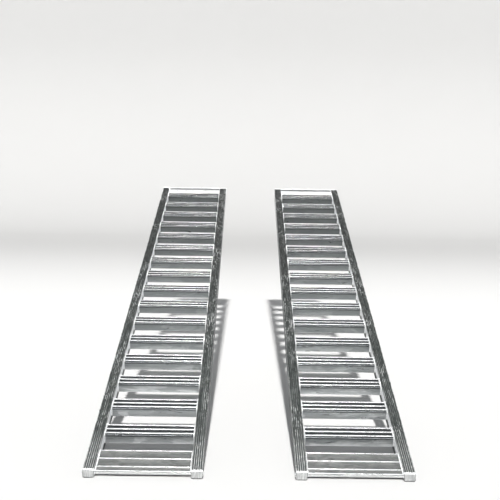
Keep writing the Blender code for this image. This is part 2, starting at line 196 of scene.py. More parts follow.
def rail_look():
    """Old mill-finish extrusion: dark oxide with wavy streaks along the rail, painted darker up the slope
    towards the head (painted shade), the crests of its ribs brighter in places and near the toe, dirt in the
    grooves, and a painted highlight: a pale strip along the upper part of each side face that looks into its
    own ramp."""
    k = Look("rail_weathered_aluminium")
    s, n = k.split.outputs["Y"], k.split.outputs["Z"]
    long_streak = k.noise((130, 3.2, 130), 4.0, 0.6, warp=0.4)
    wavy = k.noise((105, 17, 105), 4.0, 0.68, at=(3.1, 0, 0), warp=1.3)
    patch = k.noise((9, 4.2, 9), 3.0, 0.55, at=(0, 7.7, 0), warp=0.6)
    fine = k.noise((1400, 60, 1400), 2.0, 0.6)
    streaks = k.math("MULTIPLY_ADD", wavy, 0.5, k.math("MULTIPLY", long_streak, 0.5))
    oxide_and_head_shade = k.mix(k.ramp(streaks, 0.38, 0.62), (0.040, 0.047, 0.045), (0.160, 0.174, 0.170))
    oxide_and_head_shade = k.mix(k.ramp(patch, 0.40, 0.66, 0.0, 0.5), oxide_and_head_shade, (0.105, 0.115, 0.110))
    # Darker up the slope towards the head: painted shade.
    oxide_and_head_shade = k.mix(k.ramp(s, 0.4, 2.2, 0.0, 0.85), oxide_and_head_shade, (0.012, 0.015, 0.014))
    # The crests of the ribs are brighter in streaky patches and near the toe.
    crest = k.ramp(n, -0.0013, -0.0003)
    toe = k.ramp(k.math("MULTIPLY_ADD", patch, 0.16, s), 0.34, 0.19)
    worn = k.math("MAXIMUM", k.ramp(patch, 0.44, 0.60, 0.10, 0.85), toe)
    crest_brightening = k.math("MULTIPLY", k.ramp(wavy, 0.47, 0.60), worn)
    crest_brightening = k.math("MAXIMUM", crest_brightening, k.math("MULTIPLY", toe, 0.42))
    bright_crest_share = k.math("MULTIPLY", crest, crest_brightening, clamp=True)
    colour = k.mix(bright_crest_share, oxide_and_head_shade, (0.60, 0.615, 0.61))
    # Side faces are plain. On the faces that look into their own ramp, the upper part is painted pale with less
    # metal in it: a painted highlight.
    side = k.ramp(n, -0.0030, -0.0060)
    wide = k.math("SUBTRACT", k.math("ABSOLUTE", k.split.outputs["X"]), SPACING / 2)
    off = k.math("ABSOLUTE", wide)
    inward = k.ramp(off, RAIL_X + 0.004, RAIL_X - 0.004)
    upper = k.math("MULTIPLY", side, k.ramp(n, -0.0415, -0.0395))
    upper = k.math("MULTIPLY", upper, inward)
    flank = k.mix(k.ramp(long_streak, 0.3, 0.7), (0.06, 0.064, 0.066), (0.17, 0.178, 0.182))
    pale = k.mix(k.ramp(long_streak, 0.3, 0.7), (0.80, 0.81, 0.83), (0.95, 0.955, 0.965))
    colour = k.mix(side, colour, k.mix(upper, flank, pale))
    # The outermost arris is rubbed to a thin bright line.
    arris = k.math("MULTIPLY", k.ramp(wide, RAIL_X + 0.0188, RAIL_X + 0.0200), k.ramp(n, -0.0060, -0.0030))
    arris = k.math("MULTIPLY", arris, k.ramp(wavy, 0.36, 0.54))
    colour = k.mix(k.math("MULTIPLY", arris, 0.8), colour, (0.66, 0.68, 0.68))
    groove = k.ramp(n, -0.0010, -0.0017)
    dirt_and_shade = k.math("MULTIPLY", k.math("SUBTRACT", groove, side, clamp=True), 0.70)
    colour = k.mix(dirt_and_shade, colour, (0.030, 0.033, 0.032))
    rough = k.ramp(streaks, 0.35, 0.65, 0.52, 0.36)
    rough = k.math("ADD", rough, k.math("MULTIPLY", bright_crest_share, -0.08), clamp=True)
    normal = k.bump(wavy, 0.0009)
    normal = k.bump(fine, 0.00008, after=normal)
    return k.done(colour, rough, normal, k.math("MULTIPLY_ADD", upper, -0.6, 1.0))


def rung_look():
    """Satin channel with its ribs worn bright and dark between the ribs. The web is painted dark at its top,
    under the nose, and pale towards its foot: painted shade and a painted reflection of the floor. Webs and
    crests are painted darker towards the head: painted shade."""
    k = Look("rung_satin_aluminium")
    n = k.split.outputs["Z"]
    cloud = k.noise((9, 40, 40), 4.0, 0.6, warp=0.8)
    streak = k.noise((3.5, 420, 420), 3.0, 0.6, at=(0, 2.3, 0))
    fine = k.noise((70, 2200, 2200), 2.0, 0.6)
    smear_and_sheen = k.noise((22, 90, 90), 5.0, 0.7, at=(5.5, 0, 0), warp=1.6)
    along = k.math("SUBTRACT", k.split.outputs["Y"], RUNG_FIRST - RUNG_NOSE)
    along = k.math("MODULO", along, RUNG_PITCH)
    # The web is painted dark at its top, under the nose, and pale towards its foot: painted shade and a painted
    # reflection of the floor.
    down = k.math("MULTIPLY_ADD", k.math("SUBTRACT", cloud, 0.5), 0.050, n)
    web = k.mix(k.ramp(down, -0.042, -0.014), (0.80, 0.82, 0.83), (0.40, 0.42, 0.425))
    web = k.mix(k.ramp(streak, 0.42, 0.68, 0.0, 0.30), web, (0.42, 0.44, 0.445))
    # Pale smears on the web are painted highlights.
    web = k.mix(k.ramp(smear_and_sheen, 0.58, 0.68, 0.0, 0.55), web, (0.86, 0.875, 0.88))
    tone = k.noise((5, 9, 14), 2.0, 0.5, at=(1.7, 3.0, 0), warp=1.4)
    web = k.mix(k.ramp(tone, 0.44, 0.53, 0.0, 0.50), web, (0.24, 0.262, 0.27))
    # The web is painted darker towards the head: painted shade.
    head_shade = k.ramp(k.split.outputs["Y"], 0.30, 1.25)
    web = k.mix(k.math("MULTIPLY", head_shade, 0.74), web, (0.20, 0.220, 0.220))
    web = k.mix(k.ramp(k.split.outputs["Y"], 1.4, 2.5, 0.0, 0.84), web, (0.10, 0.110, 0.109))
    # Between the ribs the colour is dark.
    low = k.mix(k.ramp(cloud, 0.3, 0.7), (0.030, 0.033, 0.035), (0.085, 0.090, 0.093))
    low = k.mix(k.ramp(smear_and_sheen, 0.62, 0.74, 0.0, 0.3), low, (0.24, 0.25, 0.26))
    floor = k.ramp(n, RUNG_TOP - 0.0010, RUNG_TOP - 0.0003)
    colour = k.mix(floor, web, low)
    # The crests of the ribs are worn bright. Towards the head the bright crests narrow, and they are painted
    # darker there: painted shade.
    thin = k.math("MULTIPLY_ADD", k.ramp(k.split.outputs["Y"], 0.7, 2.4), -0.0012, n)
    crest = k.ramp(thin, -0.0073, -0.0064)
    bright = k.mix(k.ramp(smear_and_sheen, 0.36, 0.62), (0.84, 0.85, 0.86), (0.95, 0.955, 0.96))
    bright = k.mix(k.math("MULTIPLY", head_shade, 0.45), bright, (0.50, 0.515, 0.52))
    bright = k.mix(k.ramp(k.split.outputs["Y"], 1.3, 2.5, 0.0, 0.72), bright, (0.33, 0.342, 0.345))
    colour = k.mix(crest, colour, bright)
    # So is the narrow flat behind the last rib.
    rear = k.math("MULTIPLY", k.ramp(along, 0.0636, 0.0650), k.ramp(n, -0.0112, -0.0098))
    colour = k.mix(k.math("MULTIPLY", rear, 0.85), colour, bright)
    # The front corner of the nose is darker in patches.
    nose = k.math("MULTIPLY", k.ramp(along, 0.0042, 0.0030), k.ramp(n, -0.0118, -0.0106))
    colour = k.mix(k.math("MULTIPLY", nose, k.ramp(smear_and_sheen, 0.50, 0.62, 0.9, 0.2)), colour, (0.20, 0.21, 0.215))
    # A dark line along the top of the web, under the nose, is painted shade.
    under = k.math("MULTIPLY", k.ramp(n, -0.0165, -0.0145), k.ramp(n, -0.0110, -0.0122))
    colour = k.mix(k.math("MULTIPLY", under, 0.86), colour, (0.045, 0.047, 0.048))
    # The web's foot is a pale line.
    foot = k.ramp(n, RUNG_TOP - RUNG_DEEP + 0.0032, RUNG_TOP - RUNG_DEEP + 0.0016)
    colour = k.mix(k.math("MULTIPLY", foot, 0.8), colour, (0.86, 0.87, 0.88))
    rough = k.ramp(cloud, 0.3, 0.7, 0.38, 0.27)
    rough = k.math("ADD", rough, k.math("MULTIPLY", crest, -0.06), clamp=True)
    normal = k.bump(streak, 0.00003)
    normal = k.bump(fine, 0.00003, after=normal)
    # The web's face is dulled by a thin white bloom.
    dull = k.math("SUBTRACT", 1.0, k.ramp(n, RUNG_TOP - 0.0050, RUNG_TOP - 0.0030))
    return k.done(colour, rough, normal, k.math("MULTIPLY_ADD", dull, -0.30, 1.0))


def tread_look():
    """The toe tread: scuffed grey plate with bright ribs, and a front face painted pale as a painted reflection
    of the floor.
    """
    k = Look("toe_tread_scuffed_aluminium")
    n = k.split.outputs["Z"]
    cloud = k.noise((14, 40, 40), 4.0, 0.62, warp=1.0)
    streak = k.noise((4, 380, 380), 3.0, 0.6)
    grain = k.noise((520, 700, 520), 2.0, 0.7)
    scuff = k.noise((120, 260, 120), 5.0, 0.75, at=(2.2, 0, 0), warp=2.4)
    base = k.mix(k.ramp(cloud, 0.3, 0.7), (0.10, 0.104, 0.102), (0.20, 0.206, 0.202))
    base = k.mix(k.ramp(scuff, 0.58, 0.72, 0.0, 0.40), base, (0.34, 0.35, 0.35))
    base = k.mix(k.ramp(grain, 0.60, 0.80, 0.0, 0.35), base, (0.08, 0.083, 0.08))
    crest = k.ramp(n, -0.0110, -0.0095)
    colour = k.mix(crest, base, k.mix(k.ramp(scuff, 0.4, 0.65), (0.80, 0.81, 0.815), (0.95, 0.955, 0.955)))
    # The front face is painted pale: a painted reflection of the floor in front of it.
    front = k.ramp(k.split.outputs["Y"], 0.0046, 0.0036)
    colour = k.mix(front, colour, k.mix(k.ramp(scuff, 0.4, 0.65), (0.62, 0.63, 0.635), (0.84, 0.85, 0.85)))
    rough = k.ramp(cloud, 0.3, 0.7, 0.50, 0.36)
    rough = k.math("ADD", rough, k.math("MULTIPLY", crest, -0.12), clamp=True)
    normal = k.bump(scuff, 0.00010)
    normal = k.bump(streak, 0.00006, after=normal)
    return k.done(colour, rough, normal)


def bright_look(name, dark, pale, rough_low, rough_high, along, darkening):
    """Bright plate with fine lines one way, scratches and clouds. The function given last returns the share of
    a darker colour over the plate, and that colour: painted shade on the toe shoes, and a grey front and a
    darker corner on the deck lip."""
    k = Look(name)
    cloud = k.noise((18, 18, 18), 4.0, 0.6, warp=0.7)
    line = k.noise(along, 3.0, 0.6)
    scratch = k.noise((60, 240, 500), 5.0, 0.8, at=(0, 0, 3.3), warp=2.0)
    colour = k.mix(k.ramp(line, 0.32, 0.68), dark, pale)
    colour = k.mix(k.ramp(cloud, 0.55, 0.75, 0.0, 0.4), colour, dark)
    colour = k.mix(k.ramp(scratch, 0.62, 0.70, 0.0, 0.5), colour, pale)
    # On the toe shoes this darker colour is painted shade.
    share, dirt_and_shade = darkening(k)
    colour = k.mix(share, colour, dirt_and_shade)
    rough = k.ramp(cloud, 0.3, 0.7, rough_low, rough_high)
    rough = k.math("MULTIPLY_ADD", share, 0.12, rough)
    normal = k.bump(line, 0.00018)
    normal = k.bump(scratch, 0.00012, after=normal)
    return k.done(colour, rough, normal)


def lip_dark_marks(k):
    """Grey on the head plate's turned-down front, and darker in the corner under the lip."""
    s, n = k.split.outputs["Y"], k.split.outputs["Z"]
    front = k.math("MULTIPLY", k.ramp(s, HEAD_START + 0.0040, HEAD_START + 0.0010), k.ramp(n, -0.0068, -0.0085))
    low = k.ramp(n, -0.0045, -0.0056)
    corner = k.math("MULTIPLY", k.ramp(s, LENGTH - 0.0330, LENGTH - 0.0260), low)
    share = k.math("MAXIMUM", k.math("MULTIPLY", front, 0.85), k.math("MULTIPLY", corner, 0.9))
    return share, (0.16, 0.165, 0.17)


def shoe_painted_shade(k):
    """Painted shade round the rim of the cap: darker next to the ground and down its two sides."""
    x, s, n = (k.split.outputs[name] for name in "XYZ")
    height = k.math("MULTIPLY_ADD", s, SIN, k.math("MULTIPLY_ADD", n, COS, TOE_H))
    off = k.math("ABSOLUTE", k.math("SUBTRACT", k.math("ABSOLUTE", x), SPACING / 2))
    off = k.math("ABSOLUTE", k.math("SUBTRACT", off, RAIL_X))
    uneven = k.math("MULTIPLY", k.noise((160, 160, 160), 4.0, 0.65), 0.0030)
    low = k.ramp(k.math("SUBTRACT", height, uneven), 0.0040, 0.0002)
    sides = k.ramp(k.math("ADD", off, uneven), RAIL_W / 2 - 0.0016, RAIL_W / 2 + 0.0012)
    share = k.math("MAXIMUM", k.math("MULTIPLY", low, 0.9), k.math("MULTIPLY", sides, 0.75))
    return share, (0.10, 0.10, 0.098)


def bead_look():
    """Weld metal: bright crests, and soot in the pits between the ripples."""
    k = Look("weld_bead_aluminium")
    pit = k.add("ShaderNodeAttribute")
    pit.attribute_name = "pit"
    cloud = k.noise((120, 120, 120), 3.0, 0.6)
    speck = k.noise((900, 900, 900), 2.0, 0.6, at=(1, 2, 3))
    colour = k.mix(k.ramp(cloud, 0.3, 0.7), (0.66, 0.675, 0.69), (0.93, 0.935, 0.94))
    colour = k.mix(k.ramp(speck, 0.64, 0.76, 0.0, 0.4), colour, (0.20, 0.20, 0.205))
    depth = k.math("MULTIPLY_ADD", k.math("SUBTRACT", cloud, 0.5), 0.6, pit.outputs["Fac"])
    colour = k.mix(k.ramp(depth, 0.55, 0.95, 0.0, 0.92), colour, (0.035, 0.036, 0.037))
    return k.done(colour, k.ramp(cloud, 0.3, 0.7, 0.42, 0.26), k.bump(speck, 0.0001), 0.55)


def zinc_look(name, worn):
    """Zinc plate: blotchy spangle, with dirt and a little rust bloom where it is worn."""
    k = Look(name)
    cells = k.add("ShaderNodeTexVoronoi", Vector=k.coords, Scale=240.0).outputs["Color"]
    cell = k.add("ShaderNodeSeparateColor", Color=cells).outputs[0]
    cloud = k.noise((45, 45, 45), 4.0, 0.6, warp=0.8)
    speck = k.noise((500, 500, 500), 3.0, 0.7)
    colour = k.mix(cell, (0.42, 0.43, 0.44), (0.58, 0.59, 0.60))
    colour = k.mix(k.ramp(cloud, 0.5, 0.75, 0.0, 0.6), colour, (0.20, 0.195, 0.18))
    rust = k.math("MULTIPLY", k.ramp(cloud, 0.60, 0.72), k.ramp(speck, 0.5, 0.65), clamp=True)
    colour = k.mix(k.math("MULTIPLY", rust, worn), colour, (0.16, 0.075, 0.035))
    return k.done(colour, k.ramp(cloud, 0.3, 0.7, 0.30, 0.52), k.bump(speck, 0.00008))


RAIL = rail_look()
RUNG = rung_look()
TREAD = tread_look()
LIP = bright_look(
    "deck_lip_bright_aluminium",
    (0.78, 0.79, 0.80),
    (0.95, 0.955, 0.96),
    0.24,
    0.36,
    (6, 420, 420),
    lip_dark_marks,
)
SHOE = bright_look(
    "toe_shoe_bright_aluminium",
    (0.52, 0.53, 0.53),
    (0.82, 0.83, 0.83),
    0.28,
    0.42,
    (260, 40, 30),
    shoe_painted_shade,
)
BEAD = bead_look()
LEAF = zinc_look("hinge_leaf_zinc_steel", 0.5)
PIN = zinc_look("hinge_pin_zinc_steel", 0.8)


# ------------------------------------------------------------------ mesh makers
def new_bmesh():
    """An empty bmesh whose vertices can say how deep in a weld's ripple they lie."""
    bm = bmesh.new()
    bm.verts.layers.float.new("pit")
    return bm


def rounded(outline):
    """(s, n) or (s, n, radius) corners to a list of points, with an arc at each radius."""
    points = []
    count = len(outline)
    for k, corner in enumerate(outline):
        here = Vector(corner[:2])
        radius = corner[2] if len(corner) > 2 else 0.0
        before = Vector(outline[k - 1][:2]) - here
        after = Vector(outline[(k + 1) % count][:2]) - here
        if radius <= 0 or before.length < 1e-9 or after.length < 1e-9:
            points.append(tuple(here))
            continue
        turn = before.angle(after)
        if turn > math.pi - 0.02:
            points.append(tuple(here))
            continue
        reach = min(radius / math.tan(turn / 2), before.length * 0.49, after.length * 0.49)
        start, end = here + before.normalized() * reach, here + after.normalized() * reach
        radius = reach * math.tan(turn / 2)
        centre = here + (before.normalized() + after.normalized()).normalized() * (
            radius / math.sin(turn / 2)
        )
        a, b = start - centre, end - centre
        sweep = a.angle(b)
        steps = max(2, min(5, int(math.degrees(sweep) / 20) + 1))
        side = 1 if a.x * b.y - a.y * b.x > 0 else -1
        for step in range(steps + 1):
            angle = side * sweep * step / steps
            points.append(
                (
                    centre.x + a.x * math.cos(angle) - a.y * math.sin(angle),
                    centre.y + a.x * math.sin(angle) + a.y * math.cos(angle),
                )
            )
    return points


def ribs(centres, top, base=RIB_BASE, crest=RIB_TOP, radius=0.0013):
    """Rib corners along a tread, from the front to the rear."""
    made = []
    for s in centres:
        made += [
            (s - base / 2, top, 0.0006),
            (s - crest / 2, top + RIB_H, radius),
            (s + crest / 2, top + RIB_H, radius),
            (s + base / 2, top, 0.0006),
        ]
    return made


def add_prism(bm, points, x0, x1, steps=1, slot=0):
    """Extrudes an outline in S and N across, as one closed body inside bm."""
    rows = [
        [bm.verts.new((x0 + (x1 - x0) * k / steps, s, n)) for s, n in points]
        for k in range(steps + 1)
    ]
    count = len(points)
    faces = [bm.faces.new(rows[0]), bm.faces.new(rows[-1])]
    for row, following in zip(rows, rows[1:]):
        for k in range(count):
            after = (k + 1) % count
            faces.append(bm.faces.new((row[k], row[after], following[after], following[k])))
    for face in faces:
        face.material_index = slot
    bmesh.ops.triangulate(bm, faces=faces[:2])
    return rows


def add_bead(bm, path, radius, slot, ripple=0.0030, seed=0.0, sides=8, swell=0.20, least_pit=0.0):
    """A weld bead: a tube along path whose girth swells once for each ripple, with the
    ripple leaning back the way the torch came from."""
    pits = bm.verts.layers.float.get("pit")
    points = [Vector(p) for p in path]
    spans = [(b - a).length for a, b in zip(points, points[1:])]
    total = sum(spans)
    rings = max(6, int(total / min(ripple, 0.004) * 4))
    made = []
    for k in range(rings + 1):
        along = total * k / rings
        rest, at = along, points[0]
        for a, b, span in zip(points, points[1:], spans):
            if rest <= span or b is points[-1]:
                at = a.lerp(b, min(1.0, rest / max(span, 1e-9)))
                forward = (b - a).normalized()
                break
            rest -= span
        phase = (along / ripple + seed) % 1.0
        wave = math.sin(math.pi * phase ** 0.7)
        wobble = noise.noise(Vector((along * 90 + seed * 31, seed * 7.7, 0.3)))
        girth = radius * (1.06 - swell + swell * wave + 0.13 * wobble)
        close = min(along, total - along) / (radius * 1.4)
        if close < 1:
            girth *= math.sqrt(max(0.03, 1 - (1 - close) ** 2))
        side = forward.cross(Vector((0, 0, 1)))
        if side.length < 0.2:
            side = forward.cross(Vector((1, 0, 0)))
        side.normalize()
        up = side.cross(forward).normalized()
        made.append(
            [
                bm.verts.new(
                    at
                    + side * (girth * math.cos(2 * math.pi * j / sides))
                    + up * (girth * math.sin(2 * math.pi * j / sides))
                    + forward * (0.0005 * math.sin(2 * math.pi * j / sides))
                )
                for j in range(sides)
            ]
        )
        for vert in made[-1]:
            vert[pits] = max(least_pit, 1 - wave * 1.25)
    faces = []
    for ring, following in zip(made, made[1:]):
        for j in range(sides):
            after = (j + 1) % sides
            faces.append(bm.faces.new((ring[j], ring[after], following[after], following[j])))
    faces.append(bm.faces.new(made[0]))
    faces.append(bm.faces.new(made[-1]))
    for face in faces:
        face.material_index = slot


def add_piece(name, bm, looks, body, stands_for=(), sharp=38):
    """Turns bm, in the sloping frame, into a piece that rides on body."""
    bmesh.ops.recalc_face_normals(bm, faces=bm.faces)
    bmesh.ops.transform(bm, matrix=SLOPED, verts=bm.verts)
    mesh = bpy.data.meshes.new(name)
    bm.to_mesh(mesh)
    bm.free()
    for look in looks:
        mesh.materials.append(look)
    mesh.shade_smooth()
    mesh.set_sharp_from_angle(angle=math.radians(sharp))
    piece = bpy.data.objects.new(name, mesh)
    bpy.context.scene.collection.objects.link(piece)
    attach(piece, body)
    if stands_for:
        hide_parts(*stands_for)
    return piece


# ------------------------------------------------------------------ side rails
def rail_section():
    """The outside and the inside of the rail's section, as (x, n) from the rail's centre."""
    half = RAIL_W / 2
    pitch = RAIL_W / (GROOVES + 0.6)
    outer = [(-half, 0.0, 0.0018)]
    for k in range(GROOVES):
        x = (k - (GROOVES - 1) / 2) * pitch
        outer += [
            (x - 0.0021, 0.0, 0.0007),
            (x - 0.0013, -GROOVE_D, 0.0005),
            (x + 0.0013, -GROOVE_D, 0.0005),
            (x + 0.0021, 0.0, 0.0007),
        ]
    outer += [
        (half, 0.0, 0.0018),
        (half, RECESS_TOP, 0.0008),
        (half - RECESS_D, RECESS_TOP - RECESS_D, 0.0008),
        (half - RECESS_D, RECESS_LOW + RECESS_D, 0.0008),
        (half, RECESS_LOW, 0.0008),
        (half, -RAIL_D, 0.0015),
        (-half, -RAIL_D, 0.0015),
        (-half, RECESS_LOW, 0.0008),
        (-half + RECESS_D, RECESS_LOW + RECESS_D, 0.0008),
        (-half + RECESS_D, RECESS_TOP - RECESS_D, 0.0008),
        (-half, RECESS_TOP, 0.0008),
    ]
    cavity = half - RAIL_WALL
    roof = -RAIL_WALL - GROOVE_D
    narrow = cavity - RECESS_D
    inner = [
        (-cavity, roof, 0.002),
        (cavity, roof, 0.002),
        (cavity, RECESS_TOP + 0.001, 0.001),
        (narrow, RECESS_TOP - RECESS_D, 0.001),
        (narrow, RECESS_LOW + RECESS_D, 0.001),
        (narrow, -RAIL_D + RAIL_WALL, 0.002),
        (-narrow, -RAIL_D + RAIL_WALL, 0.002),
        (-narrow, RECESS_LOW + RECESS_D, 0.001),
        (-narrow, RECESS_TOP - RECESS_D, 0.001),
        (-cavity, RECESS_TOP + 0.001, 0.001),
    ]
    return rounded(outer), rounded(inner)


OUTER, INNER = rail_section()


def rail_mesh(x_centre, start, end, stations, seed):
    """A hollow rail between two end rules, each a function from n to s. The crests of the
    top ribs are dented very slightly along their length, as old extrusions are."""
    bm = new_bmesh()
    grid = {}
    for name, loop in (("outer", OUTER), ("inner", INNER)):
        rows = []
        for k in range(stations + 1):
            share = k / stations
            row = []
            for x, n in loop:
                s = start(n) + (end(n) - start(n)) * share
                drop = 0.0
                if name == "outer" and n > -0.0004 and 0 < k < stations:
                    drop = 0.00022 * max(
                        0.0, noise.noise(Vector((x * 190 + seed * 5.1, s * 26, seed)))
                    )
                row.append(bm.verts.new((x_centre + x, s, n - drop)))
            rows.append(row)
        grid[name] = rows
        count = len(loop)
        for row, following in zip(rows, rows[1:]):
            for k in range(count):
                after = (k + 1) % count
                bm.faces.new((row[k], row[after], following[after], following[k]))
    for row in (0, -1):
        edges = []
        for rows in grid.values():
            ring = rows[row]
            for k in range(len(ring)):
                edges.append(bm.edges.get((ring[k], ring[(k + 1) % len(ring)])))
        bmesh.ops.triangle_fill(bm, use_beauty=True, use_dissolve=False, edges=edges)
    return bm


def cut_to_ground(bm):
    """Cuts the rail's underside level, one shoe thickness above the ground, and closes it."""
    s, n = to_slope(0.5, SHOE_T + GAP)
    made = bmesh.ops.bisect_plane(
        bm,
        geom=bm.verts[:] + bm.edges[:] + bm.faces[:],
        plane_co=(0, s, n),
        plane_no=(0, -SIN, -COS),
        clear_outer=True,
        dist=1e-7,
    )
    edges = [item for item in made["geom_cut"] if isinstance(item, bmesh.types.BMEdge)]
    bmesh.ops.triangle_fill(bm, use_beauty=True, use_dissolve=False, edges=edges)


def front_end(n):
    return (SHOE_T + GAP + n * SIN) / COS


def plumb_end(n):
    return (END_Y - GAP + n * SIN) / COS


def build_rail(side, edge, x, seed):
    lower = rail_mesh(x, front_end, lambda n: FOLD_S - FOLD_SPLIT / 2, 110, seed)
    cut_to_ground(lower)
    # A bead runs over the rail top and down its sides where the shoe is welded on.
    half = RAIL_W / 2
    at = (SHOE_T + 0.0012) / COS
    path = [
        (x - half + 0.0010, at - 0.020 * TAN, -0.020),
        (x - half + 0.0010, at, -0.0030),
        (x - half + 0.0035, at, -0.0010),
        (x + half - 0.0035, at, -0.0010),
        (x + half - 0.0010, at, -0.0030),
        (x + half - 0.0010, at - 0.020 * TAN, -0.020),
    ]
    add_bead(lower, path, 0.0042, 1, ripple=0.0120, seed=seed * 0.37, swell=0.34)
    name = f"{side}_{edge}_lower_rail"
    add_piece(name + "_extrusion", lower, [RAIL, BEAD], f"{side}_lower", [name])
    upper = rail_mesh(x, lambda n: FOLD_S + FOLD_SPLIT / 2, plumb_end, 104, seed + 2.5)
    at = LENGTH - 0.0014
    path = [
        (x - half + 0.0004, at - 0.045 * TAN, -0.045),
        (x - half + 0.0004, at, -0.0012),
        (x - half + 0.0020, at, -0.0006),
        (x + half - 0.0020, at, -0.0006),
        (x + half - 0.0004, at, -0.0012),
        (x + half - 0.0004, at - 0.045 * TAN, -0.045),
    ]
    add_bead(upper, path, 0.0026, 1, ripple=0.0034, seed=seed * 0.53)
    name = f"{side}_{edge}_upper_rail"
    add_piece(name + "_extrusion", upper, [RAIL, BEAD], f"{side}_upper", [name])


# ------------------------------------------------------------------ rungs and treads
def end_beads(bm, x_centre, profile, radius, seed, inset=0.0):
    """A bead at each end of a tread, along profile, a list of (s, n)."""
    half = INNER_W / 2
    for k, direction in enumerate((-1, 1)):
        x = x_centre + direction * (half - inset)
        add_bead(
            bm,
            [(x - direction * 0.0006, s, n) for s, n in profile],
            radius,
            1,
            ripple=0.0031,
            seed=seed + k * 0.41,
        )


def build_rung(side, number, x_centre):
    s0 = RUNG_FIRST + (RUNGS - number) * RUNG_PITCH
    front, rear = s0 - RUNG_NOSE, s0 + RUNG_TAIL
    top, low = RUNG_TOP, RUNG_TOP - RUNG_DEEP
    outline = [(front, low, 0.0012), (front, top, 0.0020)]
    outline += ribs([s0 + k * RIB_PITCH for k in range(3)], top)
    outline += [
        (rear, top, 0.0016),
        (rear, low, 0.0012),
        (rear - RUNG_T, low, 0.0008),
        (rear - RUNG_T, top - RUNG_T, 0.0030),
        (front + RUNG_T, top - RUNG_T, 0.0030),
        (front + RUNG_T, low, 0.0008),
    ]
    bm = new_bmesh()
    half = INNER_W / 2 - GAP
    add_prism(bm, rounded(outline), x_centre - half, x_centre + half)
    over = [
        (front - 0.0006, low + 0.003),
        (front - 0.0006, top - 0.002),
        (front + 0.0016, top + 0.0006),
    ]
    for k in range(3):
        s = s0 + k * RIB_PITCH
        over += [
            (s - 0.0056, top + 0.0006),
            (s - 0.0030, top + RIB_H * 0.72),
            (s + 0.0030, top + RIB_H * 0.72),
            (s + 0.0056, top + 0.0006),
        ]
    over = [p for k, p in enumerate(over) if k == 0 or p[0] >= over[k - 1][0] - 1e-9 or p[1] != over[k - 1][1]]
    over += [(rear + 0.0002, top - 0.001), (rear + 0.0006, low + 0.006)]
    end_beads(bm, x_centre, over, 0.0046, number * 0.173 + x_centre)
    name = f"{side}_rung_{number:02d}"
    body = f"{side}_upper" if s0 > FOLD_S else f"{side}_lower"
    add_piece(name + "_channel", bm, [RUNG, BEAD], body, [name])


def build_tread(side, x_centre):
    top, thick, front = TREAD_TOP, 0.006, 0.0030
    nose_low = to_slope(0.0, 0.0065)[1]
    rear_low = top - 0.034
    outline = [(front, nose_low, 0.0014), (front, top, 0.0022)]
    outline += ribs(TREAD_RIBS, top, 0.0066, 0.0036)
    outline += [
        (TREAD_END, top, 0.0014),
        (TREAD_END, rear_low, 0.0012),
        (TREAD_END - RUNG_T, rear_low, 0.0008),
        (TREAD_END - RUNG_T, top - thick, 0.003),
        (front + 0.007, top - thick, 0.003),
        (front + 0.007, nose_low, 0.0014),
    ]
    bm = new_bmesh()
    half = INNER_W / 2 - GAP
    add_prism(bm, rounded(outline), x_centre - half, x_centre + half)
    path = [(front + 0.002, top + 0.0008), (TREAD_END - 0.001, top + 0.0008), (TREAD_END + 0.0008, top - 0.004), (TREAD_END + 0.0008, rear_low + 0.006)]
    end_beads(bm, x_centre, path, 0.0034, x_centre * 3.1)
    name = f"{side}_toe_tread"
    add_piece(name + "_plate", bm, [TREAD, BEAD], f"{side}_lower", [name])


# ------------------------------------------------------------------ shoes, lips and hinges
def build_shoe(side, edge, x):
    """The cap over the rail's foot, with rounded lower corners, and the sole behind it."""
    half = RAIL_W / 2
    bm = new_bmesh()
    face = rounded(
        [
            (-half, 0.0, 0.0070),
            (half, 0.0, 0.0070),
            (half, TOE_H, 0.0022),
            (-half, TOE_H, 0.0022),
        ]
    )
    rings = []
    for y, inset in ((0.0012, 0.0), (0.0004, 0.0004), (0.0, 0.0013)):
        shrink_x, shrink_z = 1 - inset / half, 1 - 2 * inset / TOE_H
        ring = []
        for px, pz in face:
            pz = TOE_H / 2 + (pz - TOE_H / 2) * shrink_z
            s, n = to_slope(y, pz)
            ring.append(bm.verts.new((x + px * shrink_x, s, n)))
        rings.append(ring)
    back = []
    for px, pz in face:
        lean = SHOE_T * TAN * max(0.0, pz / TOE_H)
        s, n = to_slope(SHOE_T, pz + lean)
        back.append(bm.verts.new((x + px, s, n)))
    rings.insert(0, back)
    count = len(face)
    for ring, following in zip(rings, rings[1:]):
        for k in range(count):
            after = (k + 1) % count
            bm.faces.new((ring[k], ring[after], following[after], following[k]))
    bm.faces.new(rings[0])
    bm.faces.new(rings[-1])
    # The sole, with its long edges rolled up.
    steps = 5
    radius = 0.0034
    section = []
    for k in range(steps + 1):
        turn = math.pi / 2 * k / steps
        section.append((half - radius + radius * math.sin(turn), radius - radius * math.cos(turn)))
    section = [(-a, b) for a, b in reversed(section)] + section
    section += [(half, SHOE_T), (-half, SHOE_T)]
    ends = []
    for y in (SHOE_T * 0.9, SHOE_LEN - 0.004, SHOE_LEN):
        ring = []
        for px, pz in section:
            lift = 0.0016 * (1 - pz / SHOE_T) if y == SHOE_LEN else 0.0
            s, n = to_slope(y, pz + lift)
            ring.append(bm.verts.new((x + px, s, n)))
        ends.append(ring)
    for ring, following in zip(ends, ends[1:]):
        for k in range(len(section)):
            after = (k + 1) % len(section)
            bm.faces.new((ring[k], ring[after], following[after], following[k]))
    bm.faces.new(ends[0])
    bm.faces.new(ends[-1])
    name = f"{side}_{edge}_toe_shoe"
    add_piece(name + "_plate", bm, [SHOE, BEAD], f"{side}_lower", [name])


